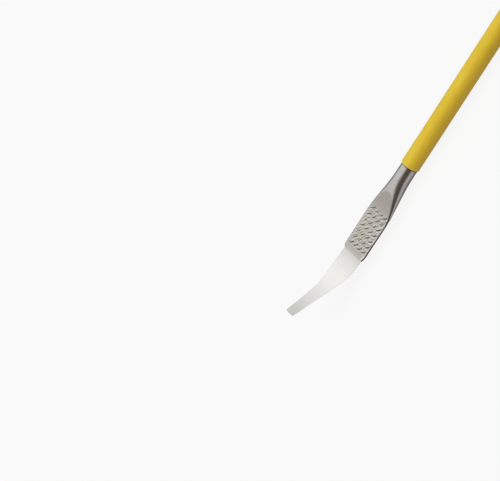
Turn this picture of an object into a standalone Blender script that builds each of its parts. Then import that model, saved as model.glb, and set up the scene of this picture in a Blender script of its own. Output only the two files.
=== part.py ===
"""Curved-blade spudger: a thin spring-steel leaf held in the flattened, embossed
end of a stainless tube, with a thin coloured sleeve over the tube and a plug
in its rear end.

Frame: metres, +Z up. The tool's axis is the X axis. The origin is the centre of
the flat rear end face, the handle runs towards -X, and the blade is at the -X
end and curves up towards +Z. Y is the blade's width. The tool is mirror-
symmetric about the XZ plane. "Forwards" means towards -X.
"""

import math
from bisect import bisect_left
from typing import NamedTuple

import bmesh
import bpy
from mathutils import Vector

MM = 0.001

# ---- driving dimensions, in millimetres --------------------------------------
# sleeve
SLEEVE_OD = 4.9
SLEEVE_ID = 4.46
SLEEVE_FRONT = 98.0  # from the tool's rear face to the sleeve's front end
EASED_EDGE = 0.10  # taken off the sleeve's outer end edges and the plug's shoulder

# plug
PLUG_HEAD = 2.5  # length of the visible head
PLUG_FACE_D = 3.8  # flat part of the rear face
PLUG_STEM_D = 3.74
PLUG_STEM_LENGTH = 8.0
STEM_TAPER_LENGTH = 0.4  # taper at the stem's front end
STEM_TAPER_DEPTH = 0.3
SEAM = 0.10  # gap between the plug's shoulder and the tube and sleeve
SLEEVE_REAR = PLUG_HEAD + SEAM  # the tube starts here too

# stainless tube and its flattened end
TUBE_OD = 4.4
TUBE_WALL = 0.28
ROUND_PART = 2.6  # round neck showing in front of the sleeve
RAMP = 13.6  # length over which the tube is pressed flat
SHANK_REACH = 26.6  # from the sleeve's front end to the tube's mouth
FLAT_WIDTH = 7.32
FLAT_THICKNESS = 0.56
FLAT_CORNER = 0.18  # rounding of the flat's long edges
MOUTH_CORNER = 0.30  # rounding, in plan, of the flat's corners at the mouth
MOUTH_ROUNDING = 0.9  # how full that rounding is; 1 would be a whole quarter-ellipse
MOUTH_BREAK = 0.04  # height taken off the outer edge at the mouth
CAVITY_WIDTH = 6.50  # slot left inside the flat for the blade
CAVITY_HEIGHT = 0.20

# embossed grip pattern on both faces of the flat
EMBOSS_COLUMNS = 7  # along the tool
EMBOSS_ROWS = 4  # across the tool
EMBOSS_PITCH_X = 1.70
EMBOSS_PITCH_Y = 1.55
EMBOSS_RADIUS = 0.70  # foot of one dome
EMBOSS_HEIGHT = 0.12
EMBOSS_LIP = 1.57  # plain lip between the pattern and the mouth

# blade; lengths are along its curve
BLADE_THICKNESS = 0.13
BLADE_EDGE = 0.06  # thickness left at the ground edges
BLADE_GRIND = 0.30  # width of the bevels, ground on the underside
BLADE_LENGTH = 21.8  # from the mouth to the tip
TANG_LENGTH = 9.0  # hidden in the flat
TANG_CORNER = 0.4  # eased corners on the hidden end
ROOT_SLOPE = 3.4  # degrees, eased in over ROOT_EASE outside the mouth
ROOT_EASE = 0.8
TIP_SLOPE = 38.9  # degrees, reached at BEND_LENGTH and kept to the tip
BEND_LENGTH = 14.5
TIP_CORNER = 0.25
# (distance from the mouth, blade width): a broad root, a waist, a slim tip
BLADE_WIDTHS = (
    (0.0, 6.34), (3.0, 6.18), (6.0, 5.76), (9.0, 4.54),
    (12.0, 3.74), (16.0, 3.10), (BLADE_LENGTH, 2.56),
)

# ---- mesh resolution ---------------------------------------------------------
ROUND_SEGMENTS = 64
FILLET_STEPS = 4  # in the plug's quarter-round
EMBOSS_CELLS = 6  # mesh cells to one pitch of the pattern
OUTER_RAMP_STEPS = 14
INNER_RAMP_STEPS = 12
CAVITY_CORNER_STEPS = 4
LIP_STATIONS = (0.9, 0.5, 0.3, 0.15, 0.05, 0.0)  # distances behind the mouth
BLADE_STEPS = 24
CURVE_STEPS_PER_MM = 40  # for summing the blade's slope into its centre line


# ---- scene and materials -----------------------------------------------------
def clear_scene():
    for obj in list(bpy.data.objects):
        bpy.data.objects.remove(obj, do_unlink=True)


def make_material(name, colour, roughness, metallic):
    material = bpy.data.materials.new(name)
    material.use_nodes = True
    shader = material.node_tree.nodes["Principled BSDF"]
    shader.inputs["Base Color"].default_value = (*colour, 1.0)
    shader.inputs["Roughness"].default_value = roughness
    shader.inputs["Metallic"].default_value = metallic
    material.diffuse_color = (*colour, 1.0)
    return material


def finish(name, bm, material, sharp_degrees=32.0):
    """Turns a bmesh into a named, smooth-shaded object with outward faces."""
    bmesh.ops.recalc_face_normals(bm, faces=bm.faces[:])
    mesh = bpy.data.meshes.new(name)
    bm.to_mesh(mesh)
    bm.free()
    mesh.materials.append(material)
    mesh.shade_smooth()
    mesh.set_sharp_from_angle(angle=math.radians(sharp_degrees))
    obj = bpy.data.objects.new(name, mesh)
    bpy.context.scene.collection.objects.link(obj)


# ---- small geometry helpers --------------------------------------------------
def smoothstep(u):
    u = min(1.0, max(0.0, u))
    return u * u * (3.0 - 2.0 * u)


def monotone_cubic(stations, x):
    """Monotone cubic through (position, value) stations, held level past the ends."""
    positions, values = zip(*stations)
    x = min(max(x, positions[0]), positions[-1])
    slopes = [(b[1] - a[1]) / (b[0] - a[0]) for a, b in zip(stations, stations[1:])]
    tangents = [slopes[0]]
    for before, after in zip(slopes, slopes[1:]):
        turns = before * after <= 0
        tangents.append(0.0 if turns else 2.0 * before * after / (before + after))
    tangents.append(slopes[-1])

    i = max(0, bisect_left(positions, x) - 1)
    span = positions[i + 1] - positions[i]
    u = (x - positions[i]) / span
    return (
        (2 * u**3 - 3 * u**2 + 1) * values[i]
        + (u**3 - 2 * u**2 + u) * span * tangents[i]
        + (-2 * u**3 + 3 * u**2) * values[i + 1]
        + (u**3 - u**2) * span * tangents[i + 1]
    )


def spin_profile(profile, closed):
    """Spins an (x, radius) profile in millimetres a full turn about the X axis."""
    bm = bmesh.new()
    verts = [bm.verts.new((x * MM, 0.0, radius * MM)) for x, radius in profile]
    edges = [bm.edges.new(pair) for pair in zip(verts, verts[1:])]
    if closed:
        edges.append(bm.edges.new((verts[-1], verts[0])))
    bmesh.ops.spin(
        bm,
        geom=verts + edges,
        cent=(0, 0, 0),
        axis=(1, 0, 0),
        angle=2 * math.pi,
        steps=ROUND_SEGMENTS,
        use_merge=True,
    )
    # profile ends on the axis leave one point per step
    bmesh.ops.remove_doubles(bm, verts=bm.verts[:], dist=1e-7)
    return bm


def bridge_rings(bm, rings, loop=False):
    """Quads between consecutive closed rings of vertices."""
    pairs = list(zip(rings, rings[1:]))
    if loop:
        pairs.append((rings[-1], rings[0]))
    for first, second in pairs:
        count = len(first)
        for i in range(count):
            j = (i + 1) % count
            bm.faces.new((first[i], first[j], second[j], second[i]))


# ---- handle ------------------------------------------------------------------
def make_end_plug(material):
    head_radius, stem_radius, face_radius = SLEEVE_OD / 2, PLUG_STEM_D / 2, PLUG_FACE_D / 2
    shoulder = -PLUG_HEAD
    stem_end = shoulder - PLUG_STEM_LENGTH
    fillet = head_radius - face_radius
    profile = [(0.0, 0.0), (0.0, face_radius)]
    # quarter-round between the flat face and the head's side
    for i in range(1, FILLET_STEPS + 1):
        turn = math.pi / 2 * i / FILLET_STEPS
        profile.append((-fillet * (1 - math.cos(turn)), face_radius + fillet * math.sin(turn)))
    profile += [
        (shoulder + EASED_EDGE, head_radius),
        (shoulder, head_radius - EASED_EDGE),
        (shoulder, stem_radius),
        (stem_end + STEM_TAPER_LENGTH, stem_radius),
        (stem_end, stem_radius - STEM_TAPER_DEPTH),
        (stem_end, 0.0),
    ]
    finish("end_plug", spin_profile(profile, closed=False), material)


def make_grip_sleeve(material):
    outer, inner = SLEEVE_OD / 2, SLEEVE_ID / 2
    rear, front = -SLEEVE_REAR, -SLEEVE_FRONT
    bulge = 0.3 * EASED_EDGE  # inset of the middle point that rounds the front edge
    profile = [
        (rear, inner),
        (rear, outer - EASED_EDGE),
        (rear - EASED_EDGE, outer),
        (front + EASED_EDGE, outer),
        (front + bulge, outer - bulge),
        (front, outer - EASED_EDGE),
        (front, inner),
    ]
    finish("grip_sleeve", spin_profile(profile, closed=True), material)


# ---- shank tube --------------------------------------------------------------
class RoundedRect(NamedTuple):
    """A rounded rectangle across the tool, centred on its axis."""

    half_width: float
    half_height: float
    corner: float

    def perimeter(self):
        straight = 4 * (self.half_width - self.corner) + 4 * (self.half_height - self.corner)
        return straight + 2 * math.pi * self.corner

    def point(self, distance):
        """(y, z) at a distance round from the top centre, towards +Y first."""
        half_width, half_height, corner = self
        half_top, side = half_width - corner, 2 * (half_height - corner)
        arc = math.pi / 2 * corner
        lap = self.perimeter()
        mirror = 1.0
        if distance > lap / 2:
            mirror, distance = -1.0, lap - distance

        if distance <= half_top:
            return mirror * distance, half_height
        distance -= half_top
        if distance <= arc:
            turn = distance / corner
            y = half_top + corner * math.sin(turn)
            return mirror * y, half_height - corner + corner * math.cos(turn)
        distance -= arc
        if distance <= side:
            return mirror * half_width, half_height - corner - distance
        distance -= side
        if distance <= arc:
            turn = distance / corner
            y = half_top + corner * math.cos(turn)
            return mirror * y, -(half_height - corner) - corner * math.sin(turn)
        distance -= arc
        return mirror * (half_top - distance), -half_height


OUTER_FLAT = RoundedRect(FLAT_WIDTH / 2, FLAT_THICKNESS / 2, FLAT_CORNER)
CAVITY = RoundedRect(CAVITY_WIDTH / 2, CAVITY_HEIGHT / 2, CAVITY_HEIGHT / 2)


def tube_section(radius, flat, press, flat_marks):
    """One ring of the tube, from round (press 0) to flat (press 1), as (y, z) points.

    The tube's girth changes only a little as it is pressed, so a point keeps
    its share of the girth. flat_marks gives the distances from the top centre
    of one quadrant's points on the flat section.
    """
    flat_girth = flat.perimeter()
    girth = 2 * math.pi * radius * (1 - press) + flat_girth * press
    half_height = radius + (flat.half_height - radius) * press
    corner = half_height + (flat.corner - flat.half_height) * smoothstep((press - 0.6) / 0.4)
    # the width takes up whatever girth the height and corners leave
    half_width = (girth - 4 * (half_height - corner) - 2 * math.pi * corner) / 4 + corner
    outline = RoundedRect(half_width, half_height, corner)
    lap = outline.perimeter()

    per_quadrant = len(flat_marks) - 1
    points = []
    for k in range(4 * per_quadrant):
        quadrant, i = divmod(k, per_quadrant)
        if quadrant % 2 == 0:
            mark = flat_marks[i] / flat_girth
        else:
            mark = 0.25 - flat_marks[per_quadrant - i] / flat_girth
        share_round = k / (4 * per_quadrant)
        share_flat = quadrant / 4 + mark
        points.append(outline.point(lap * (share_round * (1 - press) + share_flat * press)))
    return points


def pressed(from_sleeve):
    """0 on the round neck, 1 on the full flat, at a distance ahead of the sleeve."""
    return smoothstep((from_sleeve - ROUND_PART) / RAMP)


def emboss_height(to_mouth, y):
    """Height of the embossed pattern at a distance behind the mouth, and across."""
    u = (to_mouth - EMBOSS_LIP) / EMBOSS_PITCH_X
    v = y / EMBOSS_PITCH_Y + EMBOSS_ROWS / 2
    if not (0 < u < EMBOSS_COLUMNS and 0 < v < EMBOSS_ROWS):
        return 0.0
    # offsets from the centre of the dome in this pitch cell
    dx = EMBOSS_PITCH_X * (u - math.floor(u) - 0.5)
    dy = EMBOSS_PITCH_Y * (v - math.floor(v) - 0.5)
    return EMBOSS_HEIGHT * max(0.0, 1.0 - (dx * dx + dy * dy) / EMBOSS_RADIUS**2)


def detail_outer_point(to_mouth, y, z):
    """Adds the embossing and the eased mouth to a point of the outer skin."""
    height = abs(z)
    if height > 0.8 * OUTER_FLAT.half_height:  # upper and lower faces, not the sides
        height += emboss_height(to_mouth, y)
    if to_mouth == 0.0 and height > MOUTH_BREAK:
        height -= MOUTH_BREAK
    # the flat's outer corners are rounded off in plan at the mouth
    into_corner = max(0.0, MOUTH_CORNER - to_mouth) / MOUTH_CORNER
    inset = MOUTH_CORNER * (1.0 - math.sqrt(1.0 - into_corner**2 * MOUTH_ROUNDING))
    return y * (1.0 - inset / OUTER_FLAT.half_width), math.copysign(height, z)


def outer_flat_marks():
    """Points of one quadrant: the pattern's grid lines, the corner, the side's middle."""
    grid_lines = EMBOSS_CELLS * EMBOSS_ROWS // 2
    marks = [i * EMBOSS_PITCH_Y / EMBOSS_CELLS for i in range(grid_lines + 1)]
    top = OUTER_FLAT.half_width - FLAT_CORNER
    arc = math.pi / 2 * FLAT_CORNER
    side = OUTER_FLAT.half_height - FLAT_CORNER
    return marks + [top, top + arc / 2, top + arc, top + arc + side]


def cavity_marks():
    """Points of one quadrant: as many as outside, ending in a full round."""
    top_steps = EMBOSS_CELLS * EMBOSS_ROWS // 2
    top = CAVITY.half_width - CAVITY.corner
    arc = math.pi / 2 * CAVITY.corner
    marks = [top * i / top_steps for i in range(top_steps + 1)]
    return marks + [
        top + arc * i / CAVITY_CORNER_STEPS for i in range(1, CAVITY_CORNER_STEPS + 1)
    ]


def make_shank_tube(material):
    outer_radius = TUBE_OD / 2
    inner_radius = outer_radius - TUBE_WALL

    # stations measured forwards from the sleeve's front end
    rear = SLEEVE_REAR - SLEEVE_FRONT
    pattern_start = SHANK_REACH - EMBOSS_LIP - EMBOSS_COLUMNS * EMBOSS_PITCH_X
    plain_ramp = pattern_start - ROUND_PART
    cell = EMBOSS_PITCH_X / EMBOSS_CELLS
    outer_stations = [rear]
    outer_stations += [
        ROUND_PART + plain_ramp * i / OUTER_RAMP_STEPS for i in range(OUTER_RAMP_STEPS + 1)
    ]
    outer_stations += [
        pattern_start + cell * i for i in range(1, EMBOSS_COLUMNS * EMBOSS_CELLS + 1)
    ]
    outer_stations += [SHANK_REACH - to_mouth for to_mouth in LIP_STATIONS]
    inner_stations = [rear]
    inner_stations += [
        ROUND_PART + RAMP * i / INNER_RAMP_STEPS for i in range(INNER_RAMP_STEPS + 1)
    ]
    inner_stations.append(SHANK_REACH)

    bm = bmesh.new()

    def add_ring(station, points):
        x = -(SLEEVE_FRONT + station)
        return [bm.verts.new((x * MM, y * MM, z * MM)) for y, z in points]

    # forwards along the outside, then back along the inside
    rings = []
    marks = outer_flat_marks()
    for station in outer_stations:
        points = tube_section(outer_radius, OUTER_FLAT, pressed(station), marks)
        to_mouth = SHANK_REACH - station
        rings.append(add_ring(station, [detail_outer_point(to_mouth, y, z) for y, z in points]))
    marks = cavity_marks()
    for station in reversed(inner_stations):
        points = tube_section(inner_radius, CAVITY, pressed(station), marks)
        rings.append(add_ring(station, points))
    bridge_rings(bm, rings, loop=True)
    finish("shank_tube", bm, material)


# ---- blade -------------------------------------------------------------------
def blade_slope(distance):
    """Slope of the blade's centre line, in radians, at a distance from the mouth."""
    if distance <= 0:
        return 0.0
    root = ROOT_SLOPE * min(1.0, distance / ROOT_EASE)
    bend = (TIP_SLOPE - ROOT_SLOPE) * min(1.0, distance / BEND_LENGTH)
    return math.radians(root + bend)


def blade_centre(distance):
    """(forward, up) of the centre line at a distance from the mouth."""
    if distance <= 0:
        return distance, 0.0
    steps = math.ceil(distance * CURVE_STEPS_PER_MM)
    step = distance / steps
    slopes = [blade_slope(step * (i + 0.5)) for i in range(steps)]
    forward = step * sum(math.cos(slope) for slope in slopes)
    up = step * sum(math.sin(slope) for slope in slopes)
    return forward, up


def blade_half_width(distance):
    half_width = monotone_cubic(BLADE_WIDTHS, distance) / 2
    if distance == -TANG_LENGTH:
        half_width -= TANG_CORNER
    # quarter-round corners, in plan, at the tip
    into_corner = max(0.0, distance - (BLADE_LENGTH - TIP_CORNER)) / TIP_CORNER
    return half_width - TIP_CORNER * (1 - math.sqrt(max(0.0, 1 - into_corner**2)))


def blade_outline(distance):
    """Cross-section as (y, height above the centre line), with bevels underneath."""
    half_width = blade_half_width(distance)
    top = BLADE_THICKNESS / 2
    edge = top - BLADE_EDGE
    # the underside also rises to the edge's thickness over the last stretch
    to_tip = min(1.0, (BLADE_LENGTH - distance) / BLADE_GRIND)
    underside = edge - (BLADE_THICKNESS - BLADE_EDGE) * to_tip
    return [
        (half_width, top),
        (-half_width, top),
        (-half_width, edge),
        (-(half_width - BLADE_GRIND), underside),
        (half_width - BLADE_GRIND, underside),
        (half_width, edge),
    ]


def make_blade(material):
    mouth = -(SLEEVE_FRONT + SHANK_REACH)
    # distances from the mouth; the tang's are negative
    stations = [-TANG_LENGTH, -TANG_LENGTH + TANG_CORNER]
    stations += [BLADE_LENGTH * i / BLADE_STEPS for i in range(BLADE_STEPS)]
    stations += [BLADE_LENGTH - BLADE_GRIND, BLADE_LENGTH - TIP_CORNER / 2, BLADE_LENGTH]
    bm = bmesh.new()
    rings = []
    for distance in stations:
        forward, up = blade_centre(distance)
        slope = blade_slope(distance)
        centre = Vector((mouth - forward, 0.0, up))
        normal = Vector((math.sin(slope), 0.0, math.cos(slope)))
        rings.append([
            bm.verts.new((centre + Vector((0, y, 0)) + normal * height) * MM)
            for y, height in blade_outline(distance)
        ])
    bridge_rings(bm, rings)
    bm.faces.new(rings[0])
    bm.faces.new(rings[-1])
    finish("blade", bm, material, sharp_degrees=20.0)


def main():
    clear_scene()
    make_blade(make_material(
        "polished_spring_steel", colour=(0.82, 0.82, 0.80), roughness=0.18, metallic=1.0))
    make_shank_tube(make_material(
        "stainless_tube", colour=(0.58, 0.56, 0.53), roughness=0.30, metallic=1.0))
    make_grip_sleeve(make_material(
        "yellow_sleeve", colour=(0.72, 0.53, 0.04), roughness=0.45, metallic=0.0))
    make_end_plug(make_material(
        "yellow_plug", colour=(0.68, 0.50, 0.04), roughness=0.50, metallic=0.0))


main()
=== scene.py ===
"""Looks for the curved-blade spudger: finer meshes for its four pieces, their
procedural materials, and a plain, bright studio.

The tool lies in the part's own frame along X, with its rear face at 0 and its
blade at -X. The blade curves up to +Z, and Y runs across it. Blender works in
metres; the shapes are worked out in millimetres.
"""

import math

import bmesh  # noqa: E402
import bpy  # noqa: E402
import numpy as np  # noqa: E402
from mathutils import Matrix, Vector  # noqa: E402


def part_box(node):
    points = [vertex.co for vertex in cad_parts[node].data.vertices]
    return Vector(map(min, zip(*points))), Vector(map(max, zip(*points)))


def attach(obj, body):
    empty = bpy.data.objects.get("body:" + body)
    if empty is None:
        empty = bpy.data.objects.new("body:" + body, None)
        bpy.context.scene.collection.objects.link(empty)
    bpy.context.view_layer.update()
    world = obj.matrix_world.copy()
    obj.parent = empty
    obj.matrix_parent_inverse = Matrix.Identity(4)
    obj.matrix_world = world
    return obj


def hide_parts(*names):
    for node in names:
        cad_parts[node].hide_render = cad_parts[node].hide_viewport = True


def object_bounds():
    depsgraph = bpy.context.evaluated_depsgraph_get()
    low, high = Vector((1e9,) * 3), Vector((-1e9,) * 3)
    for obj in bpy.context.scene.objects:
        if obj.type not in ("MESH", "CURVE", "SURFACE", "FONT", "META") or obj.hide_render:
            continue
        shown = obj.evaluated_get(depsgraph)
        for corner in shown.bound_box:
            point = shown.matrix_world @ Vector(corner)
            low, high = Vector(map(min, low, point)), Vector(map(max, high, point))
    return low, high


MM = 0.001

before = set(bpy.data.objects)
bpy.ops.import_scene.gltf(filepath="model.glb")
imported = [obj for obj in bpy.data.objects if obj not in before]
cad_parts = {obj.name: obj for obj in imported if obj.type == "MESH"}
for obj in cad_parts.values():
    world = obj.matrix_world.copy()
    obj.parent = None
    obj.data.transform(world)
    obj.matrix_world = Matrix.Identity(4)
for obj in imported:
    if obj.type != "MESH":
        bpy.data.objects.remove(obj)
cad_lo, cad_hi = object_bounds()

# ---- places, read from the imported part, mm unless a vector ----------------------
SLEEVE_LO, SLEEVE_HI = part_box("grip_sleeve")
TUBE_LO, TUBE_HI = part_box("shank_tube")
PLUG_LO, PLUG_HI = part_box("end_plug")
FRONT = SLEEVE_LO.x / MM  # the sleeve's front end
SLEEVE_REAR = SLEEVE_HI.x / MM
MOUTH = TUBE_LO.x / MM  # the mouth of the flattened tube
SLEEVE_R = SLEEVE_HI.z / MM
TUBE_R = TUBE_HI.z / MM
HALF_FLAT = TUBE_HI.y / MM
REACH = FRONT - MOUTH  # from the sleeve's front end to the mouth
TUBE_BEHIND = TUBE_HI.x / MM - FRONT  # length of tube behind the sleeve's front end

# ---- shank tube, mm ---------------------------------------------------------------
TUBE_WALL = 0.28
ROUND_PART = 2.6  # stays round this far ahead of the sleeve
RAMP = 13.6  # then flattens over this length
FLAT_THICKNESS = 0.56
FLAT_CORNER = 0.26
MOUTH_CORNER_LEFT = (0.80, 0.28)  # rounding of the mouth's +Y corner, along and across
MOUTH_CORNER_RIGHT = (1.80, 0.36)  # and of its -Y corner
MOUTH_TAPER = 0.016  # share by which the -Y side draws in towards the mouth
RIM_ROUND, RIM_REACH = 0.05, 0.06  # broken edge of the ends: drop, and length at the mouth
BURR, BURR_START = 0.030, 2.80  # ridge on the -Y margin: height, distance from the axis
CAVITY_WIDTH = 6.40
CAVITY_HEIGHT = 0.20
CAVITY_FLARE = 0.03
DIE_REACH = 18.6  # how far behind the mouth the dull print reaches on the axis

# Embossed bumps: columns run along the tool from the mouth, rows across it.
EMBOSS_COLUMNS, EMBOSS_ROWS = 7, 4
EMBOSS_PITCH_X, EMBOSS_PITCH_Y = 1.70, 1.55
EMBOSS_CELLS = 20  # mesh steps to a pitch
EMBOSS_HEIGHT = 0.063
EMBOSS_LIP = 1.57  # plain margin behind the mouth
EMBOSS_END = EMBOSS_LIP + EMBOSS_COLUMNS * EMBOSS_PITCH_X
EMBOSS_TAIL, EMBOSS_CREST = -0.85, 0.24  # start and top of a bump, along its lean
EMBOSS_FALL, EMBOSS_HOLLOW = 0.30, 0.95  # fall's length, hollow's depth as a share
EMBOSS_HALF_WIDTH, EMBOSS_SIDE = 0.88, 0.42  # across the lean: half width, sloping part
EMBOSS_RECOVERY = 0.46  # length of the hollow's far slope
EMBOSS_WANDER = 0.07  # how far a bump strays from its place
LAST_COLUMN_SIZE = (0.85, 0.65, 0.45, 1.2)  # the rearmost bumps by row, -Y to +Y
LAST_COLUMN_SHIFT = (0.0, 0.0, 0.0, 0.3)
WRINKLE = 0.0065
# Low ridges between the bumps: wavelength, skew, level
WRINKLE_WAVES = (
    (1.17, 0.35, 0.9), (0.87, -0.22, 1.0), (0.74, 0.60, 0.9),
    (1.01, -0.75, 0.8), (0.61, 0.08, 0.7), (0.64, 1.20, 0.6),
)

# ---- blade, mm and degrees -----------------------------------------------------------
BLADE_THICKNESS = 0.13
BLADE_EDGE = 0.06  # thickness left at the ground edge
BLADE_GRIND = 0.30  # width of the bevel
BLADE_EASE = 0.010  # tiny bevel on the upper edges
BLADE_LENGTH = 21.8  # ahead of the mouth, along the curve
TANG_LENGTH = 9.0  # inside the tube
TANG_CORNER = 0.4
ROOT_SLOPE, ROOT_LENGTH = 3.4, 0.8
TIP_SLOPE, BEND_LENGTH = 38.9, 14.5
TIP_CORNER = 0.25
# Distance ahead of the mouth, full width
WIDTH_STATIONS = (
    (0.0, 6.34), (3.0, 6.18), (6.0, 5.76), (9.0, 4.54),
    (12.0, 3.74), (16.0, 3.10), (BLADE_LENGTH, 2.56),
)

# ---- sleeve and plug, mm ---------------------------------------------------------------
SLEEVE_ID = 4.46
SLEEVE_LIP = 0.13
PLUG_FACE_R = 1.90  # flat of the rear face
PLUG_STEM_R = 1.87
PLUG_GAP = 0.10  # between the plug's head and the sleeve
PLUG_EDGE = 0.1  # rounding of the head's front edge
TURNED_SEGMENTS = 128


# ---- mesh helpers -----------------------------------------------------------------
def smoothstep(u):
    u = min(1.0, max(0.0, u))
    return u * u * (3.0 - 2.0 * u)


def round_off(drop, share):
    """How far a quarter-round has fallen at a share of its length."""
    return drop * (1 - math.sqrt(max(0.0, 1 - share * share)))


def quarter(steps):
    """(sine, cosine) at even steps through a quarter turn, ends included."""
    turns = [math.pi / 2 * i / steps for i in range(steps + 1)]
    return [(math.sin(turn), math.cos(turn)) for turn in turns]


def hermite_through(stations, x):
    """Smooth curve through (x, value) stations, without overshoot."""
    if x <= stations[0][0]:
        return stations[0][1]
    if x >= stations[-1][0]:
        return stations[-1][1]
    slopes = [(b[1] - a[1]) / (b[0] - a[0]) for a, b in zip(stations, stations[1:])]
    tangents = [slopes[0]]
    for before, after in zip(slopes, slopes[1:]):
        turns_back = before * after <= 0
        tangents.append(0.0 if turns_back else 2.0 * before * after / (before + after))
    tangents.append(slopes[-1])
    i = next(i for i, station in enumerate(stations[1:]) if x <= station[0])
    (start, low), (end, high) = stations[i : i + 2]
    span = end - start
    u = (x - start) / span
    return (
        (2 * u**3 - 3 * u**2 + 1) * low
        + (u**3 - 2 * u**2 + u) * span * tangents[i]
        + (-2 * u**3 + 3 * u**2) * high
        + (u**3 - u**2) * span * tangents[i + 1]
    )


def ring_mesh(name, rings, loop=False, attributes=None, sharp_deg=35.0):
    """A closed body from rings of (x, y, z) points in millimetres.

    The last ring joins the first if loop is set; otherwise both ends are capped.
    """
    count = len(rings[0])
    points = [p for ring in rings for p in ring]
    faces = []
    for r in range(len(rings) if loop else len(rings) - 1):
        this, following = r * count, ((r + 1) % len(rings)) * count
        for i in range(count):
            j = (i + 1) % count
            faces.append((this + i, this + j, following + j, following + i))
    if not loop:
        faces.append(tuple(range(count))[::-1])
        faces.append(tuple((len(rings) - 1) * count + i for i in range(count)))
    mesh = bpy.data.meshes.new(name)
    mesh.from_pydata([(x * MM, y * MM, z * MM) for x, y, z in points], [], faces)
    for key, values in (attributes or {}).items():
        layer = mesh.attributes.new(key, "FLOAT", "POINT")
        layer.data.foreach_set("value", np.asarray(values, np.float32))
    bm = bmesh.new()
    bm.from_mesh(mesh)
    bmesh.ops.remove_doubles(bm, verts=bm.verts[:], dist=1e-8)
    bmesh.ops.recalc_face_normals(bm, faces=bm.faces[:])
    bm.to_mesh(mesh)
    bm.free()
    mesh.shade_smooth()
    mesh.set_sharp_from_angle(angle=math.radians(sharp_deg))
    return add_object(name, mesh)


def add_object(name, data):
    obj = bpy.data.objects.new(name, data)
    bpy.context.scene.collection.objects.link(obj)
    return obj


# ---- shank tube: outline --------------------------------------------------------------
def perimeter(half_w, half_h, corner):
    return 4 * (half_w - corner) + 4 * (half_h - corner) + 2 * math.pi * corner


def rounded_rect_point(half_w, half_h, corner, run):
    """(y, z) at a distance round a rounded rectangle from the middle of its top."""
    top, arc, side = 2 * (half_w - corner), math.pi / 2 * corner, 2 * (half_h - corner)
    lap = 2 * top + 4 * arc + 2 * side
    run %= lap
    sign, left = (1.0, run) if run <= lap / 2 else (-1.0, lap - run)
    if left <= top / 2:
        return sign * left, half_h
    left -= top / 2
    if left <= arc:
        turn = left / corner
        y = half_w - corner + corner * math.sin(turn)
        return sign * y, half_h - corner + corner * math.cos(turn)
    left -= arc
    if left <= side:
        return sign * half_w, half_h - corner - left
    left -= side
    if left <= arc:
        turn = left / corner
        y = half_w - corner + corner * math.cos(turn)
        return sign * y, -(half_h - corner) - corner * math.sin(turn)
    left -= arc
    return sign * (top / 2 - left), -half_h


def section(radius, half_width, half_height, corner, flatness, flat_marks):
    """Outline between a circle (flatness 0) and a rounded rectangle (1).

    flat_marks are distances along one quarter of the flat outline; the points
    move from even spacing on the circle to these marks on the flat.
    """
    half_h = radius + (half_height - radius) * flatness
    flat_girth = perimeter(half_width, half_height, corner)
    girth = 2 * math.pi * radius * (1 - flatness) + flat_girth * flatness
    round_r = half_h + (corner - half_height) * smoothstep((flatness - 0.6) / 0.4)
    half_w = (girth - 4 * (half_h - round_r) - 2 * math.pi * round_r) / 4 + round_r
    lap = perimeter(half_w, half_h, round_r)
    per_quadrant = len(flat_marks) - 1
    points = []
    for k in range(4 * per_quadrant):
        quadrant, i = divmod(k, per_quadrant)
        if quadrant % 2 == 0:
            mark = flat_marks[i] / flat_girth
        else:
            mark = 0.25 - flat_marks[per_quadrant - i] / flat_girth
        share_round = k / (4 * per_quadrant)
        share = share_round * (1 - flatness) + (quadrant / 4 + mark) * flatness
        points.append(rounded_rect_point(half_w, half_h, round_r, lap * share))
    return points


def outline_marks():
    """Marks for a quarter of the outer outline, and as many for the cavity."""
    on_pattern = EMBOSS_CELLS * EMBOSS_ROWS // 2
    step = EMBOSS_PITCH_Y / EMBOSS_CELLS
    flat_top = HALF_FLAT - FLAT_CORNER
    arc = math.pi / 2 * FLAT_CORNER
    side = FLAT_THICKNESS / 2 - FLAT_CORNER
    outer = [i * step for i in range(on_pattern + 1)]
    outer += [flat_top - 0.07, flat_top]
    outer += [flat_top + arc * i / 6 for i in range(1, 7)]
    outer += [flat_top + arc + side * i / 2 for i in (1, 2)]
    cavity_r = CAVITY_HEIGHT / 2
    top = CAVITY_WIDTH / 2 - cavity_r
    spare = len(outer) - 1 - on_pattern
    inner = [top * i / on_pattern for i in range(on_pattern + 1)]
    inner += [top + math.pi / 2 * cavity_r * i / spare for i in range(1, spare + 1)]
    return outer, inner


def shank_stations():
    """Distances ahead of the sleeve's front end, for the outer skin and the cavity."""
    start = REACH - EMBOSS_END
    outer = [-TUBE_BEHIND, -TUBE_BEHIND + 0.05, -TUBE_BEHIND + 1.0, -40.0, -8.0, -1.5]
    outer += [-0.8, -0.3, 0.0, 0.1, 0.2, 0.26, 0.32, 0.38, 0.44, 0.6, 1.0, 1.5, 2.0]
    outer += [ROUND_PART + (start - ROUND_PART) * i / 56 for i in range(57)]
    steps = EMBOSS_COLUMNS * EMBOSS_CELLS
    outer += [start + EMBOSS_PITCH_X * i / EMBOSS_CELLS for i in range(1, steps + 1)]
    to_mouth = (1.0, 0.85, 0.7, 0.55, 0.45, 0.36, 0.28, 0.21, 0.15, 0.10, 0.06, 0.03, 0.01, 0.0)
    outer += [REACH - x for x in to_mouth]
    inner = [-TUBE_BEHIND, -8.0, 0.0, ROUND_PART]
    inner += [ROUND_PART + RAMP * i / 24 for i in range(1, 25)]
    inner += [REACH - x for x in (6.0, 3.0, 1.0, 0.3, 0.02, 0.0)]
    return outer, inner


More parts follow.
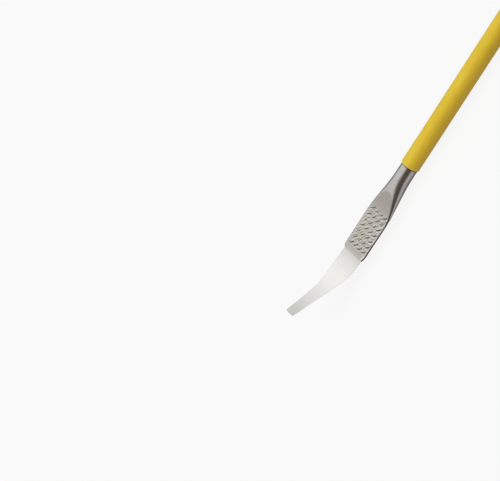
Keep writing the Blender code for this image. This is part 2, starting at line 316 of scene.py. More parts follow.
# ---- shank tube: surface --------------------------------------------------------------
def bump_profile(lean):
    """Height of a bump along its lean: an easy rise, a steep fall, then a hollow."""
    if lean < EMBOSS_CREST:
        return smoothstep((lean - EMBOSS_TAIL) / (EMBOSS_CREST - EMBOSS_TAIL))
    fall = smoothstep((lean - EMBOSS_CREST) / EMBOSS_FALL)
    recovery = smoothstep((lean - EMBOSS_CREST - EMBOSS_FALL) / EMBOSS_RECOVERY)
    return 1.0 - (1.0 + EMBOSS_HOLLOW) * fall + EMBOSS_HOLLOW * recovery


def emboss(to_mouth, y):
    """(height as a share of a bump's, how far up a bump). Bumps lean to the mouth and -Y."""
    u = (to_mouth - EMBOSS_LIP) / EMBOSS_PITCH_X
    v = y / EMBOSS_PITCH_Y + EMBOSS_ROWS / 2
    if not (-0.6 < u < EMBOSS_COLUMNS + 0.6 and -0.6 < v < EMBOSS_ROWS + 0.6):
        return 0.0, 0.0
    lift = tall = 0.0
    for i in range(max(0, int(u - 1.1)), min(EMBOSS_COLUMNS, int(u + 1.1) + 1)):
        for j in range(max(0, int(v - 1.1)), min(EMBOSS_ROWS, int(v + 1.1) + 1)):
            # no two bumps are quite alike or in line
            size = 0.92 + 0.22 * math.sin(12.9 * i + 7.1 * j + 0.7)
            size += 0.17 * math.sin(4.7 * i * j + 2.1 * i - 3.3 * j)
            along = EMBOSS_PITCH_X * (u - i - 0.5) - EMBOSS_WANDER * math.sin(5.3 * i + 3.7 * j)
            across = EMBOSS_PITCH_Y * (v - j - 0.5) - EMBOSS_WANDER * math.cos(4.1 * i - 6.9 * j)
            if i == EMBOSS_COLUMNS - 1:
                size *= LAST_COLUMN_SIZE[j]
                along -= LAST_COLUMN_SHIFT[j]
            lean, width = (-along - across) / math.sqrt(2), (along - across) / math.sqrt(2)
            lean += 0.12 * (width / 0.6) ** 2  # bows the crest
            share = smoothstep((EMBOSS_HALF_WIDTH - abs(width)) / EMBOSS_SIDE)
            rise = bump_profile(lean)
            lift += size * share * rise
            tall = max(tall, share * max(0.0, rise))
    return lift, tall


def wrinkles(to_mouth, y):
    """(height, tone) of the low ridges between the bumps, both as shares; the tone drives their painted
    highlight and shade.
    """
    lean, width = (-to_mouth - y) / math.sqrt(2), (to_mouth - y) / math.sqrt(2)
    total = tone = 0.0
    for k, (length, skew, level) in enumerate(WRINKLE_WAVES):
        drift = 0.9 * math.sin(1.1 * width + 2.3 * k) + 0.7 * math.sin(0.8 * lean + 1.7 * k + 0.4)
        wave = math.sin(2 * math.pi * (lean + skew * width) / length + drift + 1.9 * k)
        total += level * length * wave
        tone += 0.57 * level / length * wave
    return total, tone


# Attributes of the shank, in the order shank_surface gives them:
# lift, up a bump; wear_and_highlight, bright from wear at the mouth's edge and a painted
# highlight along the long margins; dull, within the die's print; seam, beside the sleeve,
# where shade is painted; wall, painted shade on the thin sides; struck, the embossed area;
# tone, the wrinkles' painted highlight and shade; plain, the slope behind the bumps.
SHANK_MARKS = ("lift", "wear_and_highlight", "dull", "seam", "wall", "struck", "tone", "plain")


def shank_surface(along, flatness, top_z, y, z):
    """A point of the outer skin and its marks, from the plain outline at one station."""
    to_mouth = REACH - along
    below_top = top_z - abs(z)
    on_top = smoothstep(1.0 - below_top / 0.10)
    struck = smoothstep((to_mouth - EMBOSS_LIP + 0.1) / 0.5)
    struck *= smoothstep((EMBOSS_END + 0.3 - to_mouth) / 1.6)
    lift = tall = tone = 0.0
    if abs(z) > top_z - 0.004 and flatness > 0.75:
        bump, tall = emboss(to_mouth, y)
        ridge, tone = wrinkles(to_mouth, y)
        burr = BURR * smoothstep((-y - BURR_START) / 0.32)
        inside = smoothstep((HALF_FLAT - FLAT_CORNER - abs(y)) / 0.12)
        lift = inside * (EMBOSS_HEIGHT * bump + struck * (WRINKLE * ridge + burr))

    # the mouth's edge is broken and its corners are drawn in
    rim_share = max(0.0, RIM_REACH - to_mouth) / RIM_REACH
    rim = round_off(RIM_ROUND, rim_share)
    corner, drawn_in = MOUTH_CORNER_LEFT if y > 0 else MOUTH_CORNER_RIGHT
    into_corner = max(0.0, corner - to_mouth) / corner
    y_out = y * (1.0 - drawn_in / HALF_FLAT * into_corner**1.9)
    if y < 0:
        y_out *= 1.0 - MOUTH_TAPER * smoothstep((10.0 - to_mouth) / 7.0)
    z_out = math.copysign(abs(z) + lift - min(rim, max(0.0, abs(z) - 0.01)), z)
    if along == -TUBE_BEHIND:  # the rear edge is broken too
        scale = 1 - RIM_ROUND / TUBE_R
        y_out, z_out = y_out * scale, z_out * scale

    # a painted highlight along the -Y margin, in spots that follow the wrinkles and grow towards the
    # mouth; only a faint one along the +Y margin
    lightened = smoothstep((abs(y) - (HALF_FLAT - 0.90)) / 0.35) * smoothstep((flatness - 0.85) / 0.15)
    spots = 0.24 + 0.60 * tone * struck + 0.60 * smoothstep((2.1 - to_mouth) / 0.8)
    lightened *= 0.16 if y > 0 else min(1.0, max(0.0, spots))
    # the mouth's broken edge and the band just behind it are bright from wear; the margins add their
    # painted highlight
    wear_and_highlight = on_top * max(0.45 * rim_share, lightened, 0.22 * smoothstep((0.9 - to_mouth) / 0.6))
    # the die's print: an arch on the slope, then the whole flat
    arch = DIE_REACH - 1.9 * (y / 2.2) ** 2
    dull = smoothstep((arch - to_mouth) / 0.7 + 0.5) * smoothstep(1.0 - below_top / 0.12)
    # the band beside the sleeve, which gets painted shade and a rougher finish
    seam = 1.0 - smoothstep((along - 0.16) / 0.22) if along > -1.0 else 0.0
    # painted shade on the thin sides, stronger towards the mouth
    side = 0.8 + 0.2 * smoothstep((6.0 - to_mouth) / 5.0) + 0.15 * smoothstep((1.1 - to_mouth) / 0.6)
    wall = (1.0 - on_top) * smoothstep((flatness - 0.80) / 0.15) * side
    plain = on_top * smoothstep((to_mouth - EMBOSS_END + 1.6) / 2.4)
    marks = (tall, wear_and_highlight, dull, seam, wall, on_top * struck, on_top * struck * tone, plain)
    return (FRONT - along, y_out, z_out), marks


def make_shank():
    outer_marks, inner_marks = outline_marks()
    outer_stations, inner_stations = shank_stations()

    def pressed(along):
        return smoothstep((along - ROUND_PART) / RAMP)

    rings, marks = [], []
    for along in outer_stations:
        flatness = pressed(along)
        size = (TUBE_R, HALF_FLAT, FLAT_THICKNESS / 2, FLAT_CORNER)
        outline = section(*size, flatness, outer_marks)
        top_z = max(z for _, z in outline)
        surface = [shank_surface(along, flatness, top_z, y, z) for y, z in outline]
        rings.append([point for point, _ in surface])
        marks += [values for _, values in surface]
    for along in reversed(inner_stations):
        flare = CAVITY_FLARE if along in (inner_stations[0], inner_stations[-1]) else 0.0
        size = (TUBE_R - TUBE_WALL, CAVITY_WIDTH / 2, CAVITY_HEIGHT / 2, CAVITY_HEIGHT / 2)
        ring = []
        for y, z in section(*size, pressed(along), inner_marks):
            widen = 1 + flare / max(math.hypot(y, z), 0.1) * 0.3
            raised = z + math.copysign(flare * 0.5, z) if abs(z) > 0.02 else z
            ring.append((FRONT - along, y * widen, raised))
        rings.append(ring)
        marks += [(0.0,) * len(SHANK_MARKS)] * len(ring)
    attributes = dict(zip(SHANK_MARKS, zip(*marks)))
    return ring_mesh("spudger_shank", rings, loop=True, attributes=attributes, sharp_deg=50.0)


# ---- blade ------------------------------------------------------------------------------
def blade_slope(along):
    if along <= 0:
        return 0.0
    root = ROOT_SLOPE * min(1.0, along / ROOT_LENGTH)
    return math.radians(root + (TIP_SLOPE - ROOT_SLOPE) * min(1.0, along / BEND_LENGTH))


def blade_centres(stations, longest_step=0.01):
    """(forward, up) of the centre line at each station, by summing its slope."""
    found, forward, up, reached = [], 0.0, 0.0, 0.0
    for along in stations:
        if along <= 0:
            found.append((along, 0.0))
            continue
        count = max(1, int(math.ceil((along - reached) / longest_step)))
        step = (along - reached) / count
        for i in range(count):
            slope = blade_slope(reached + (i + 0.5) * step)
            forward += math.cos(slope) * step
            up += math.sin(slope) * step
        reached = along
        found.append((forward, up))
    return found


def blade_section(half_w, to_tip):
    """(y, height, ground) round the blade; the bevels are ground from below.

    to_tip is 1 along the blade and falls to 0 over the bevel at the tip.
    """
    top = BLADE_THICKNESS / 2
    edge = top - BLADE_EDGE
    keel = edge - (BLADE_THICKNESS - BLADE_EDGE) * to_tip
    inner = half_w - BLADE_GRIND
    bevel = []
    for i in range(1, 6):
        u = i / 5
        ground = 1.0 if i < 5 else 0.5
        bevel.append((half_w - BLADE_GRIND * u, edge + (keel - edge) * u, ground))
    points = [((half_w - BLADE_EASE) * (1 - i / 6), top, 0.0) for i in range(13)]
    points += [(-half_w, top - BLADE_EASE, 1.0), (-half_w, edge, 1.0)]
    points += [(-y, height, ground) for y, height, ground in bevel]
    points += [(-inner + 2 * inner * i / 12, keel, 0.0) for i in range(1, 12)]
    points += bevel[::-1]
    points += [(half_w, edge, 1.0), (half_w, top - BLADE_EASE, 1.0)]
    return points


def make_blade():
    stations = [-TANG_LENGTH, -TANG_LENGTH + 0.15, -TANG_LENGTH + TANG_CORNER]
    stations += [-6.0, -3.0, -1.0, 0.0]
    stations += [BLADE_LENGTH * i / 150 for i in range(1, 148)]
    to_end = (0.30, 0.25, 0.20, 0.15, 0.11, 0.08, 0.05, 0.03, 0.015, 0.005, 0.0)
    stations += [BLADE_LENGTH - x for x in to_end]
    stations = sorted(set(round(s, 5) for s in stations))
    rings, ground_marks, along_marks = [], [], []
    for along, (forward, up) in zip(stations, blade_centres(stations)):
        half_w = hermite_through(WIDTH_STATIONS, along) / 2
        tang_share = max(0.0, -TANG_LENGTH + TANG_CORNER - along) / TANG_CORNER
        tip_share = max(0.0, along - (BLADE_LENGTH - TIP_CORNER)) / TIP_CORNER
        half_w -= round_off(TANG_CORNER, tang_share) + round_off(TIP_CORNER, tip_share)
        outline = blade_section(half_w, min(1.0, (BLADE_LENGTH - along) / BLADE_GRIND))
        slope = blade_slope(along)
        normal = Vector((math.sin(slope), 0.0, math.cos(slope)))
        centre = Vector((MOUTH - forward, 0.0, up))
        rings.append([tuple(centre + Vector((0, y, 0)) + normal * h) for y, h, _ in outline])
        tip = smoothstep((along - (BLADE_LENGTH - BLADE_GRIND)) / 0.06)
        for _, height, ground in outline:
            below_face = height < BLADE_THICKNESS / 2 - 0.001
            ground_marks.append(max(ground, tip if below_face else 0.0))
        along_marks += [along / BLADE_LENGTH] * len(outline)
    attributes = {"ground": ground_marks, "along": along_marks}
    return ring_mesh("spudger_blade", rings, attributes=attributes, sharp_deg=12.0)


# ---- sleeve and plug -----------------------------------------------------------------------
def turned(name, profile, loop=False, ripple=None, attributes=None):
    """Rings about the X axis from an (x, r) profile, with an optional ripple(x, turn, r)."""
    rings = []
    for x, r in profile:
        ring = []
        for i in range(TURNED_SEGMENTS):
            turn = 2 * math.pi * i / TURNED_SEGMENTS
            rippled = r + (ripple(x, turn, r) if ripple else 0.0)
            ring.append((x, rippled * math.sin(turn), rippled * math.cos(turn)))
        rings.append(ring)
    marks = {
        key: [v for v in values for _ in range(TURNED_SEGMENTS)]
        for key, values in (attributes or {}).items()
    }
    return ring_mesh(name, rings, loop=loop, attributes=marks)


def sleeve_ripple(x, turn, r):
    """Long low swells and a faint twist on the sleeve's outside, none in its bore."""
    if r < SLEEVE_ID / 2 + 0.04:
        return 0.0
    from_end = min(1.0, (SLEEVE_REAR - x) / 1.5, (x - FRONT) / 1.5)
    swell = (
        0.45 * math.sin(0.33 * x + 0.9 * math.sin(turn))
        + 0.35 * math.sin(0.81 * x + 2 * turn + 1.3)
        + 0.30 * math.sin(1.37 * x - 3 * turn + 0.4)
        + 0.25 * math.sin(2.9 * x + turn + 2.2) * math.sin(2 * turn)
    )
    return (-0.008 + 0.006 * swell) * max(0.0, from_end)


def make_sleeve():
    outer, inner, lip = SLEEVE_R, SLEEVE_ID / 2, SLEEVE_LIP
    rear, front = SLEEVE_REAR, FRONT
    profile = [(rear, inner)]
    profile += [(rear - lip * (1 - c) * 0.8, outer - lip + lip * s) for s, c in quarter(6)]
    steps = 210
    body = (rear - lip) - (front + lip)
    profile += [(rear - lip - body * i / steps, outer) for i in range(1, steps)]
    profile += [(front + lip * (1 - s), outer - lip + lip * c) for s, c in quarter(8)]
    profile += [(front, inner + 0.03), (front + 0.03, inner), (front + 1.0, inner)]

    def near(distance):
        return 1.0 - smoothstep(distance / 0.22)

    rim = [max(near(x - front), near(rear - x)) for x, _ in profile]
    return turned("spudger_sleeve", profile, True, sleeve_ripple, {"rim": rim})


def make_plug():
    head_r, stem_end = PLUG_HI.z / MM, PLUG_LO.x / MM
    fillet = head_r - PLUG_FACE_R
    head_front = -((PLUG_HI.x - SLEEVE_HI.x) / MM - PLUG_GAP)
    profile = [(0.0, r) for r in (0.25, 0.6, 1.0, 1.4, 1.7, PLUG_FACE_R)]
    profile += [(-fillet * (1 - c), PLUG_FACE_R + fillet * s) for s, c in quarter(12)[1:]]
    profile += [(x, head_r) for x in (-0.9, -1.3, -1.8)]
    for s, c in quarter(6):
        profile.append((head_front + PLUG_EDGE * (1 - s), head_r - PLUG_EDGE + PLUG_EDGE * c))
    profile += [(head_front, 2.2), (head_front, PLUG_STEM_R + 0.05)]
    profile += [(head_front - 0.05, PLUG_STEM_R), (stem_end + 0.4, PLUG_STEM_R)]
    profile += [(stem_end, PLUG_STEM_R - 0.3), (stem_end, 0.4)]
    return turned("spudger_plug", profile)


# ---- node helpers ---------------------------------------------------------------------------------
class Nodes:
    """A short way to build a node tree. Values may be numbers or sockets."""

    def __init__(self, owner):
        owner.use_nodes = True
        self.tree = owner.node_tree
        self.tree.nodes.clear()

    def add(self, kind, **values):
        node = self.tree.nodes.new(kind)
        for key, value in values.items():
            setattr(node, key, value)
        return node

    def link(self, source, socket):
        self.tree.links.new(source, socket)

    def value(self, socket, v):
        if hasattr(v, "is_linked"):
            self.link(v, socket)
        else:
            socket.default_value = v

    def coords(self, scale=(1, 1, 1), rotation=(0, 0, 0), location=(0, 0, 0)):
        tex = self.add("ShaderNodeTexCoord")
        mapping = self.add("ShaderNodeMapping")
        mapping.inputs["Scale"].default_value = scale
        mapping.inputs["Rotation"].default_value = rotation
        mapping.inputs["Location"].default_value = location
        self.link(tex.outputs["Object"], mapping.inputs["Vector"])
        return mapping.outputs["Vector"]

    def noise(self, scale=1, detail=4.0, rough=0.55, stretch=(1, 1, 1), turn_deg=0, distortion=0.0,
              location=(0, 0, 0)):
        """Noise with scale * stretch cells to a metre, turned about Z."""
        node = self.add("ShaderNodeTexNoise")
        node.inputs["Scale"].default_value = 1.0
        node.inputs["Detail"].default_value = detail
        node.inputs["Roughness"].default_value = rough
        node.inputs["Distortion"].default_value = distortion
        rotation = (0, 0, math.radians(turn_deg))
        vector = self.coords(tuple(scale * s for s in stretch), rotation, location)
        self.link(vector, node.inputs["Vector"])
        return node.outputs["Fac"]

    def attribute(self, name):
        return self.add("ShaderNodeAttribute", attribute_name=name).outputs["Fac"]

    def math(self, operation, first, second, clamp=False):
        node = self.add("ShaderNodeMath", operation=operation, use_clamp=clamp)
        self.value(node.inputs[0], first)
        self.value(node.inputs[1], second)
        return node.outputs[0]

    def times(self, v, by):
        return self.math("MULTIPLY", v, by)

    def plus(self, v, more, clamp=False):
        return self.math("ADD", v, more, clamp)

    def minus(self, v, less, clamp=False):
        return self.math("SUBTRACT", v, less, clamp)

    def vector(self, operation, first, second):
        node = self.add("ShaderNodeVectorMath", operation=operation)
        self.value(node.inputs[0], first)
        self.value(node.inputs[1], second)
        return node.outputs["Value" if operation == "DOT_PRODUCT" else "Vector"]

    def remap(self, v, span, to=(0.0, 1.0), smooth=False):
        interpolation = "SMOOTHSTEP" if smooth else "LINEAR"
        node = self.add("ShaderNodeMapRange", interpolation_type=interpolation)
        self.link(v, node.inputs["Value"])
        for key, x in zip(("From Min", "From Max", "To Min", "To Max"), (*span, *to)):
            node.inputs[key].default_value = x
        return node.outputs["Result"]

    def mix(self, base, colour, share):
        node = self.add("ShaderNodeMix", data_type="RGBA")
        self.value(node.inputs["Factor"], share)
        for socket, c in ((node.inputs[6], base), (node.inputs[7], colour)):
            self.value(socket, c if hasattr(c, "is_linked") else (*c, 1.0))
        return node.outputs[2]

    def tint(self, base, colour, source, span, amount=1.0, smooth=False):
        """Base mixed towards a colour by up to an amount, as the source crosses a span."""
        return self.mix(base, colour, self.remap(source, span, (0.0, amount), smooth))

    def bump(self, height, strength, distance, normal=None):
        node = self.add("ShaderNodeBump")
        node.inputs["Strength"].default_value = strength
        node.inputs["Distance"].default_value = distance
        self.link(height, node.inputs["Height"])
        if normal is not None:
            self.link(normal, node.inputs["Normal"])
        return node.outputs["Normal"]

    def ramp(self, fac, stops, reach):
        """Colour ramp from (place, grey or colour) stops, with places from -reach to reach."""
        node = self.add("ShaderNodeValToRGB")
        self.link(fac, node.inputs[0])
        elements = node.color_ramp.elements
        for i, (place, colour) in enumerate(stops):
            position = place / (2 * reach) + 0.5
            element = elements[i] if i < 2 else elements.new(position)
            element.position = position
            if not isinstance(colour, tuple):  # greys are faintly warm
                colour = (colour, colour * 0.995, colour * 0.985)
            element.color = (*colour, 1.0)
        return node.outputs["Color"]


def principled(name):
    """(material, its nodes, the principled shader's inputs)."""
    material = bpy.data.materials.new(name)
    nodes = Nodes(material)
    output = nodes.add("ShaderNodeOutputMaterial")
    shader = nodes.add("ShaderNodeBsdfPrincipled")
    nodes.link(shader.outputs[0], output.inputs["Surface"])
    return material, nodes, shader.inputs


# ---- materials ---------------------------------------------------------------------------------
MIDDLE = (0.3, 0.7)  # span that holds most of a noise's values


def shank_colour(nodes, marks, cloud, drawn, grain):
    lift, wear_and_highlight, dull, seam, wall, tone, plain = (
        marks[key] for key in ("lift", "wear_and_highlight", "dull", "seam", "wall", "tone", "plain")
    )
    tint, mix, remap, times = nodes.tint, nodes.mix, nodes.remap, nodes.times
    scratch = nodes.noise(detail=2, rough=0.5, stretch=(420, 9000, 9000), turn_deg=24)
    scratch = remap(scratch, span=(0.68, 0.76))
    base = tint((0.70, 0.665, 0.635), (0.76, 0.73, 0.70), cloud, span=MIDDLE)
    base = tint(base, (0.55, 0.52, 0.49), drawn, span=(0.40, 0.66), amount=0.16)
    base = tint(base, (0.92, 0.90, 0.88), drawn, span=(0.60, 0.34), amount=0.12)
    # inside the die's print it is duller, and faintly tinted
    printed = tint((0.645, 0.615, 0.565), (0.69, 0.66, 0.62), cloud, span=MIDDLE)
    hue = nodes.noise(scale=330, detail=2, rough=0.5, location=(7, 3, 4))
    printed = tint(printed, (0.66, 0.645, 0.53), hue, span=(0.50, 0.68), amount=0.45)
    printed = tint(printed, (0.70, 0.62, 0.60), hue, span=(0.48, 0.32), amount=0.45)
    base = mix(base, printed, share=dull)
    slope = times(times(dull, plain), by=remap(drawn, span=(0.35, 0.65), to=(0.25, 0.75)))
    base = mix(base, (0.56, 0.515, 0.465), share=slope)
    # the crests of the bumps and the mouth's edge are bright from wear; the long edges carry a painted
    # highlight, mostly on the -Y side
    base = tint(base, (0.76, 0.74, 0.71), lift, span=(0.55, 1.0), amount=0.22)
    base = mix(base, (0.97, 0.95, 0.91), share=wear_and_highlight)
    # painted highlight on the wrinkles' ridges and painted shade in their hollows
    base = tint(base, (0.92, 0.90, 0.86), tone, span=(0.1, 1.5), amount=0.72)
    base = tint(base, (0.40, 0.38, 0.34), tone, span=(-0.1, -1.5), amount=0.84)
    # painted shade on the thin sides, deepening to near black at the mouth
    base = mix(base, (0.23, 0.22, 0.20), share=wall)
    base = tint(base, (0.08, 0.075, 0.07), wall, span=(0.82, 1.0), amount=0.6)
    base = tint(base, (0.03, 0.03, 0.03), wall, span=(1.0, 1.15), amount=0.8)
    base = mix(base, (0.46, 0.44, 0.41), share=times(scratch, by=0.22))
    # painted shade against the sleeve's end, most of it on the -Y side
    place = nodes.add("ShaderNodeSeparateXYZ")
    nodes.link(nodes.coords(), place.inputs[0])
    sided = remap(place.outputs["Y"], span=(0.0020, -0.0008), to=(0.08, 1.0))
    seam_shade = times(seam, by=times(sided, by=remap(grain, span=(0.2, 0.6), to=(0.75, 1.0))))
    return mix(base, (0.10, 0.085, 0.045), share=seam_shade)


def steel_shank():
    material, nodes, inputs = principled("satin_stainless")
    inputs["Metallic"].default_value = 1.0
    marks = {key: nodes.attribute(key) for key in SHANK_MARKS}
    cloud = nodes.noise(scale=260, detail=3, rough=0.5)
    drawn = nodes.noise(detail=5, rough=0.6, stretch=(120, 5200, 5200))  # lines along the tube
    grain = nodes.noise(scale=9000, detail=3, rough=0.6)
    nodes.link(shank_colour(nodes, marks, cloud, drawn, grain), inputs["Base Color"])

    rough = nodes.remap(drawn, span=MIDDLE, to=(0.15, 0.24))
    rough = nodes.plus(rough, nodes.remap(cloud, span=MIDDLE, to=(-0.02, 0.03)))
    rough = nodes.plus(rough, nodes.times(marks["dull"], by=0.06))
    rough = nodes.plus(rough, nodes.times(marks["seam"], by=0.25), clamp=True)
    nodes.link(rough, inputs["Roughness"])
    # a fine dragged grain between the bumps, the way they lean
    ridges = nodes.noise(
        detail=2, rough=0.5, stretch=(1300, 3200, 1300), turn_deg=45, distortion=0.3,
        location=(2, 5, 1),
    )
    ridges = nodes.times(ridges, by=marks["struck"])
    normal = nodes.bump(ridges, strength=1.0, distance=0.00003)
    normal = nodes.bump(drawn, strength=0.09, distance=0.000008, normal=normal)
    normal = nodes.bump(grain, strength=0.03, distance=0.00001, normal=normal)
    nodes.link(normal, inputs["Normal"])
    return material


def steel_blade():
    material, nodes, inputs = principled("polished_spring_steel")
    inputs["Metallic"].default_value = 1.0
    tint, mix, remap, times = nodes.tint, nodes.mix, nodes.remap, nodes.times
    ground, along = nodes.attribute("ground"), nodes.attribute("along")
    cloud = nodes.noise(scale=180, detail=3, rough=0.5)
    lines = nodes.noise(detail=4, rough=0.6, stretch=(160, 7000, 160))  # along the blade
    cross = nodes.noise(detail=3, rough=0.6, stretch=(9000, 500, 9000))  # across the bevels
    scuff = nodes.noise(detail=3, rough=0.55, stretch=(700, 5200, 700), turn_deg=-31)
    scuff = remap(scuff, span=(0.67, 0.76))
    base = tint((0.918, 0.915, 0.900), (0.955, 0.952, 0.945), cloud, span=MIDDLE)
    base = mix(base, (0.96, 0.96, 0.95), share=times(ground, by=0.6))
    # faintly darker beside the mouth: painted shade where the tube shades the blade's root
    base = tint(base, (0.865, 0.86, 0.83), along, span=(0.10, 0.0))
    # duller towards the tip
    base = tint(base, (0.70, 0.715, 0.685), along, span=(0.62, 0.98), amount=0.85, smooth=True)
    tip = remap(along, span=(0.70, 1.0))
    blotches = times(tip, by=remap(cloud, span=(0.45, 0.65), to=(0.0, 0.25)))
    base = mix(base, (0.66, 0.66, 0.62), share=blotches)
    base = mix(base, (0.70, 0.70, 0.68), share=times(scuff, by=0.3))
    nodes.link(base, inputs["Base Color"])

    rough = remap(lines, span=MIDDLE, to=(0.22, 0.28))
    rough = nodes.plus(rough, times(scuff, by=0.12))
    rough = nodes.minus(rough, times(ground, by=0.06), clamp=True)
    nodes.link(rough, inputs["Roughness"])
    normal = nodes.bump(lines, strength=0.02, distance=0.000005)
    cross = times(cross, by=ground)
    normal = nodes.bump(cross, strength=0.15, distance=0.000008, normal=normal)
    nodes.link(normal, inputs["Normal"])
    return material


def yellow(name, light, deep, grain):
    """Satin yellow plastic between a light and a deep tone; grain is the fine bump's strength."""
    material, nodes, inputs = principled(name)
    tint, mix, remap, times = nodes.tint, nodes.mix, nodes.remap, nodes.times
    cloud = nodes.noise(scale=95, detail=4, rough=0.55, stretch=(0.6, 1, 1))
    fine = nodes.noise(scale=1900, detail=4, rough=0.6)
    specks = nodes.noise(scale=2600, detail=2, rough=0.5, location=(3, 1, 2))
    specks = remap(specks, span=(0.70, 0.78))
    lightened = nodes.noise(detail=4, rough=0.6, stretch=(240, 1400, 1400))
    rubbed_light = tuple(min(1.0, c * 1.12 + 0.01) for c in light)
    scuffed_light = tuple(min(1.0, c * 1.25 + 0.05) for c in light)
    base = tint(light, deep, cloud, span=MIDDLE)
    base = tint(base, rubbed_light, lightened, span=(0.52, 0.75), amount=0.25)
    base = mix(base, tuple(c * 0.55 for c in deep), share=times(specks, by=0.22))
    scuffs = nodes.noise(detail=3, rough=0.6, stretch=(330, 5200, 5200), location=(5, 2, 8))
    scuffs = remap(scuffs, span=(0.66, 0.76))
    base = mix(base, scuffed_light, share=times(scuffs, by=0.14))
    # the sleeve's cut ends are paler
    rim = times(nodes.attribute("rim"), by=remap(fine, span=(0.3, 0.6), to=(0.35, 0.6)))
    base = mix(base, (0.80, 0.68, 0.22), share=rim)
    nodes.link(base, inputs["Base Color"])

    rough = remap(fine, span=MIDDLE, to=(0.38, 0.52))
    rough = nodes.plus(rough, remap(cloud, span=MIDDLE, to=(-0.04, 0.05)))
    rough = nodes.minus(rough, times(scuffs, by=0.10), clamp=True)
    nodes.link(rough, inputs["Roughness"])
    inputs["IOR"].default_value = 1.48
    inputs["Subsurface Weight"].default_value = 0.06
    inputs["Subsurface Radius"].default_value = (0.0006, 0.0004, 0.0001)
    inputs["Subsurface Scale"].default_value = 1.0
    normal = nodes.bump(fine, strength=grain, distance=0.00003)
    normal = nodes.bump(cloud, strength=0.15, distance=0.00012, normal=normal)
    nodes.link(normal, inputs["Normal"])
    return material


# ---- studio ----------------------------------------------------------------------------------------
FLOOR_HALF_SIZE = 3.0  # metres
FLOOR_DIFFUSE = (0.05, 0.05, 0.05)
FLOOR_GLOW = 0.896  # as seen by the camera
FLOOR_BOUNCE = 0.56  # as it lights matt surfaces
SKY = (0.25, 0.25, 0.25)  # as it lights matt surfaces
BACKDROP = (0.902, 0.902, 0.902)
# Level of the source by the direction's share of the view's up: -1 down, 1 up
SOURCE = (
    (-1.0, (0.092, 0.072, 0.064)), (-0.54, (0.086, 0.068, 0.060)),
    (-0.45, (0.098, 0.080, 0.072)), (-0.38, (0.135, 0.115, 0.105)),
    (-0.31, 0.27), (-0.22, 0.50), (-0.13, 0.69), (-0.02, 0.72), (0.12, 0.70), (0.25, 0.77),
    (0.37, 0.87), (0.54, 0.97), (0.70, 0.96), (0.90, 0.84), (1.0, 0.78),
)
# How it holds up round the tool's axis, in degrees: 0 up, 90 towards -Y
SOURCE_SIDES = (
    (-180, 0.0), (-146, 0.08), (-126, 0.16), (-104, 0.31), (-88, 0.50), (-70, 0.82),
    (-58, 0.90), (-47, 0.95), (-36, 1.0), (100, 1.0), (180, 0.0),
)
# Level of the table, by the same angle
TABLE = (
    (-180, 0.14), (-150, 0.12), (-120, 0.0), (70, 0.0), (77, 0.05), (85, 0.21), (92, 0.34),
    (100, 0.39), (110, 0.42), (118, 0.39), (126, 0.29), (134, 0.21), (150, 0.165),
    (165, 0.15), (180, 0.14),
)


def tent(nodes, direction, view_up):
    """Colour of the studio as polished metal sees it, from a direction socket.

    A broad soft source fills the upper part of the view and dims towards +Y and
    the underside; a grey table shows from the -Y side round to the underside.
    """
    split = nodes.add("ShaderNodeSeparateXYZ")
    nodes.link(direction, split.inputs[0])
    # turn about the tool's axis, as a share of a lap: half is straight up
    to_right = nodes.times(split.outputs["Y"], by=-1.0)
    turn = nodes.math("ARCTAN2", to_right, split.outputs["Z"])
    turn = nodes.plus(nodes.math("DIVIDE", turn, 2 * math.pi), 0.5)
    height = nodes.vector("DOT_PRODUCT", direction, view_up)
    height = nodes.plus(nodes.times(height, by=0.5), 0.5)
    source = nodes.ramp(height, SOURCE, reach=1)
    sides = nodes.ramp(turn, SOURCE_SIDES, reach=180)
    table = nodes.ramp(turn, TABLE, reach=180)
    return nodes.vector("ADD", nodes.vector("MULTIPLY", source, sides), table)


def floor_material(view_up):
    """Glows white to the camera, less to matt surfaces, and mirrors see the tent in it."""
    material = bpy.data.materials.new("pale_floor")
    nodes = Nodes(material)
    output = nodes.add("ShaderNodeOutputMaterial")
    shown = nodes.add("ShaderNodeAddShader")
    matt = nodes.add("ShaderNodeBsdfDiffuse")
    matt.inputs["Color"].default_value = (*FLOOR_DIFFUSE, 1.0)
    glow = nodes.add("ShaderNodeEmission")
    path = nodes.add("ShaderNodeLightPath").outputs
    level = nodes.remap(path["Is Diffuse Ray"], span=(0.0, 1.0), to=(FLOOR_GLOW, FLOOR_BOUNCE))
    mirrored = nodes.add("ShaderNodeEmission")
    geometry = nodes.add("ShaderNodeNewGeometry")
    away = nodes.add("ShaderNodeVectorMath", operation="SCALE")
    away.inputs["Scale"].default_value = -1.0
    pick = nodes.add("ShaderNodeMixShader")
    nodes.link(level, glow.inputs["Strength"])
    nodes.link(geometry.outputs["Incoming"], away.inputs[0])
    nodes.link(tent(nodes, away.outputs["Vector"], view_up), mirrored.inputs["Color"])
    nodes.link(matt.outputs[0], shown.inputs[0])
    nodes.link(glow.outputs[0], shown.inputs[1])
    nodes.link(path["Is Glossy Ray"], pick.inputs[0])
    nodes.link(shown.outputs[0], pick.inputs[1])
    nodes.link(mirrored.outputs[0], pick.inputs[2])
    nodes.link(pick.outputs[0], output.inputs["Surface"])
    return material


def make_floor(z, view_up):
    centre = (cad_lo + cad_hi) / 2
    corners = [
        (centre.x + FLOOR_HALF_SIZE * i, centre.y + FLOOR_HALF_SIZE * j, z)
        for i, j in ((-1, -1), (1, -1), (1, 1), (-1, 1))
    ]
    mesh = bpy.data.meshes.new("studio_floor")
    mesh.from_pydata(corners, [], [(0, 1, 2, 3)])
    floor = add_object("studio_floor", mesh)
    mesh.materials.append(floor_material(view_up))


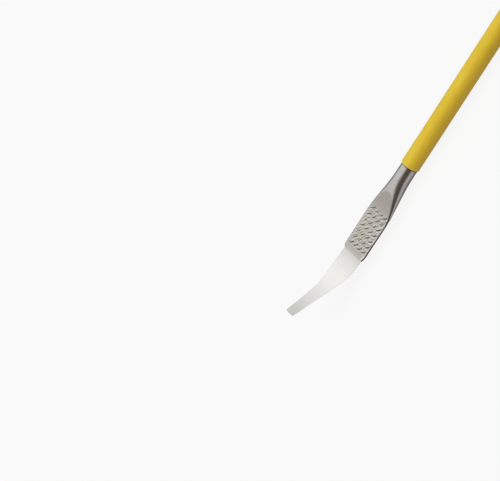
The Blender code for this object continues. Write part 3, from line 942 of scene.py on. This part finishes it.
def make_world(view_up):
    """The tent for reflections, an even dim sky for matt surfaces, plain white behind."""
    world = bpy.data.worlds.new("studio")
    bpy.context.scene.world = world
    nodes = Nodes(world)
    output = nodes.add("ShaderNodeOutputWorld")
    background = nodes.add("ShaderNodeBackground")
    nodes.link(background.outputs[0], output.inputs["Surface"])
    coords = nodes.add("ShaderNodeTexCoord")
    path = nodes.add("ShaderNodeLightPath").outputs
    reflected = tent(nodes, coords.outputs["Generated"], view_up)
    lit = nodes.mix(SKY, reflected, share=path["Is Glossy Ray"])
    seen = nodes.mix(lit, BACKDROP, share=path["Is Camera Ray"])
    nodes.link(seen, background.inputs["Color"])


def softbox(name, direction, distance, size, power, colour=(1.0, 1.0, 1.0)):
    """Area light that faces a point on the axis 20 mm behind the mouth."""
    light = bpy.data.lights.new(name, "AREA")
    light.color = colour
    light.shape = "RECTANGLE"
    light.size, light.size_y = size
    light.energy = power
    obj = add_object(name, light)
    direction = Vector(direction).normalized()
    obj.location = Vector((MOUTH * MM + 0.02, 0.0, 0.0)) + direction * distance
    obj.rotation_mode = "QUATERNION"
    obj.rotation_quaternion = direction.to_track_quat("Z", "Y")
    obj.visible_glossy = False  # the tent already gives its highlight


# How the tool lies in the view, degrees, and where the camera stands from the mouth, mm
VIEW_ROLL, VIEW_TWIST, VIEW_TILT = 32.52, 34.0, -19.0
MOUTH_RIGHT, MOUTH_BELOW = 25.19756, 3.24390  # of the view's centre
CAMERA_DISTANCE = 975.60976


def make_camera():
    """A long lens on the upper side, with the tool running from lower left to upper right.

    Returns the view's up direction.
    """
    roll, twist, tilt = (math.radians(a) for a in (VIEW_ROLL, VIEW_TWIST, VIEW_TILT))
    # unit vectors in the view's axes: x right, y down, z to the camera
    across = Vector((math.cos(roll), math.sin(roll), 0.0))
    down_tool = Vector((-math.sin(roll), math.cos(roll), 0.0))
    toward = Vector((0.0, 0.0, 1.0))
    to_tip = down_tool * math.cos(tilt) + toward * math.sin(tilt)
    lifted = toward * math.cos(tilt) - down_tool * math.sin(tilt)
    width = across * math.cos(twist) + lifted * math.sin(twist)
    face = lifted * math.cos(twist) - across * math.sin(twist)
    axes = (-to_tip, -width, face)  # the part's X, Y and Z
    right, down, back = (Vector([axis[i] for axis in axes]) for i in range(3))
    data = bpy.data.cameras.new("camera")
    data.sensor_width = 36.0
    data.lens = 288.0
    data.clip_start, data.clip_end = 0.01, 20.0
    camera = add_object("camera", data)
    offset = back * CAMERA_DISTANCE - right * MOUTH_RIGHT - down * MOUTH_BELOW
    camera.location = (Vector((MOUTH, 0.0, 0.0)) + offset) * MM
    camera.rotation_mode = "QUATERNION"
    camera.rotation_quaternion = Matrix((right, -down, back)).transposed().to_quaternion()
    bpy.context.scene.camera = camera
    return -down


# ---- assembly ----------------------------------------------------------------------------------------
view_up = make_camera()
sleeve_look = {"light": (0.70, 0.50, 0.028), "deep": (0.65, 0.455, 0.020), "grain": 0.11}
plug_look = {"light": (0.72, 0.52, 0.030), "deep": (0.66, 0.46, 0.022), "grain": 0.08}
for piece, material, node, slot in (
    (make_blade(), steel_blade(), "blade", "blade_steel"),
    (make_shank(), steel_shank(), "shank_tube", "shank_steel"),
    (make_sleeve(), yellow("satin_yellow_sleeve", **sleeve_look), "grip_sleeve", "sleeve"),
    (make_plug(), yellow("moulded_yellow", **plug_look), "end_plug", "plug"),
):
    piece.data.materials.append(material)
    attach(piece, "root")
    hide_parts(node)

make_floor(cad_lo.z, view_up)
make_world(view_up)
softbox("key", direction=(-0.10, 0.36, 0.93), distance=0.9, size=(0.9, 0.7), power=8.3)
# a warm card low on the -Y side lifts the shaded flank
softbox(
    "card", direction=(0.25, -0.87, 0.32), distance=0.5, size=(0.5, 0.3), power=0.42,
    colour=(1.0, 0.55, 0.30),
)

scene = bpy.context.scene
scene.view_settings.view_transform = "Standard"
scene.view_settings.look = "None"
